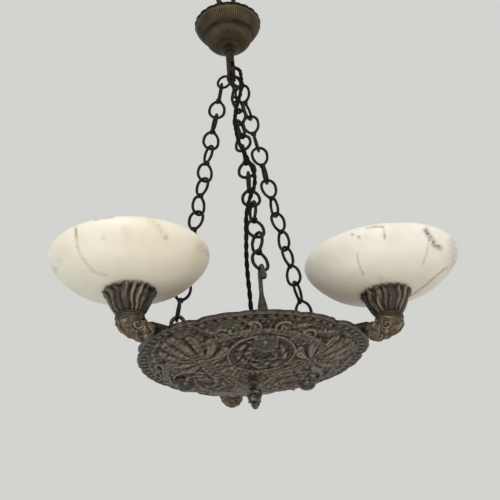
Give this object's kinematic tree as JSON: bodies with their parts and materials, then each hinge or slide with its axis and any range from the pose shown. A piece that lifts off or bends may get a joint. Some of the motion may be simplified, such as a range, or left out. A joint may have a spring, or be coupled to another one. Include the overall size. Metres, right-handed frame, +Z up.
{
  "type": "alabaster bowl pendant",
  "caption": "Hanging lamp: alabaster bowls in ribbed bronze cups on cast arms round a relief dish, hung from a canopy and stem on chains of figure-of-eight links.",
  "frame": {"origin": "centre of the suspension eye's bore, where the lamp hangs from its ceiling hook", "axes": "+Z up; -Y towards the front chain; +X towards the right-hand bowl; the eye's bore runs along Y"},
  "size_m": [0.5186, 0.4756, 0.708],
  "materials": {
    "bronze": "aged dark bronze",
    "canopy_bronze": "aged bronze with green patina",
    "iron": "blackened",
    "dish_bronze": "aged cast relief",
    "finial_bronze": "aged bronze with green patina",
    "steel": "plain",
    "arm_bronze": "dark cast bronze",
    "cup_bronze": "dark gilt bronze",
    "lampholder": "matt",
    "shade_ring": "matt",
    "alabaster": "polished veined alabaster",
    "opal_glass": "opal",
    "bulb_cap": "nickel",
    "porcelain": "glazed",
    "flex_cloth": "braided cotton",
    "wire": "insulated wire"
  },
  "bodies": {
    "stem": {"suspension_eye": "bronze", "stem_tube": "bronze", "canopy_collar": "bronze", "collar_screw": "bronze", "flex_upper": "flex_cloth"},
    "canopy": {"canopy": "canopy_bronze"},
    "front_ring": {"top_ring_front": "iron"},
    "bowl_left": {"alabaster_bowl_left": "alabaster"},
    "bulb_left": {"bulb_glass_left": "opal_glass", "bulb_cap_left": "bulb_cap"},
    "bowl_right": {"alabaster_bowl_right": "alabaster"},
    "bulb_right": {"bulb_glass_right": "opal_glass", "bulb_cap_right": "bulb_cap"},
    "bowl_rear": {"alabaster_bowl_rear": "alabaster"},
    "bulb_rear": {"bulb_glass_rear": "opal_glass", "bulb_cap_rear": "bulb_cap"},
    "lamp": {"chain_front": "iron", "chain_hook_front": "iron", "top_ring_left": "iron", "chain_left": "iron", "chain_hook_left": "iron", "top_ring_right": "iron", "chain_right": "iron", "chain_hook_right": "iron", "hook_nuts": "dish_bronze", "dish": "dish_bronze", "finial": "finial_bronze", "finial_nut": "steel", "arm_screws": "steel", "cup_nipples": "steel", "cup_nuts": "steel", "arm_left": "arm_bronze", "cup_left": "cup_bronze", "lampholder_left": "lampholder", "shade_ring_left": "shade_ring", "arm_right": "arm_bronze", "cup_right": "cup_bronze", "lampholder_right": "lampholder", "shade_ring_right": "shade_ring", "arm_rear": "arm_bronze", "cup_rear": "cup_bronze", "lampholder_rear": "lampholder", "shade_ring_rear": "shade_ring", "terminal_block": "porcelain", "flex": "flex_cloth", "arm_wires": "wire"}
  },
  "joints": [
    {"name": "canopy_lift", "type": "slide", "parent": "stem", "child": "canopy", "axis": [0, 0, 1], "range_m": [0, 0.06]},
    {"name": "lamp_swing_front", "type": "hinge", "parent": "stem", "child": "front_ring", "pos_m": [0, 0, -0.165], "axis": [1, 0, 0], "range_deg": [-4, 4]},
    {"name": "lamp_swing_side", "type": "hinge", "parent": "front_ring", "child": "lamp", "pos_m": [0, 0, -0.165], "axis": [0, 1, 0], "range_deg": [-4, 4]},
    {"name": "bowl_turn_left", "type": "hinge", "parent": "lamp", "child": "bowl_left", "pos_m": [-0.16082, -0.09285, -0.5715], "axis": [0, 0, 1], "continuous": true},
    {"name": "bowl_turn_right", "type": "hinge", "parent": "lamp", "child": "bowl_right", "pos_m": [0.16082, -0.09285, -0.5715], "axis": [0, 0, 1], "continuous": true},
    {"name": "bowl_turn_rear", "type": "hinge", "parent": "lamp", "child": "bowl_rear", "pos_m": [0, 0.1857, -0.5715], "axis": [0, 0, 1], "continuous": true},
    {"name": "bulb_lift_left", "type": "slide", "parent": "lamp", "child": "bulb_left", "axis": [0, 0, 1], "range_m": [0, 0.035]},
    {"name": "bulb_lift_right", "type": "slide", "parent": "lamp", "child": "bulb_right", "axis": [0, 0, 1], "range_m": [0, 0.035]},
    {"name": "bulb_lift_rear", "type": "slide", "parent": "lamp", "child": "bulb_rear", "axis": [0, 0, 1], "range_m": [0, 0.035]}
  ]
}
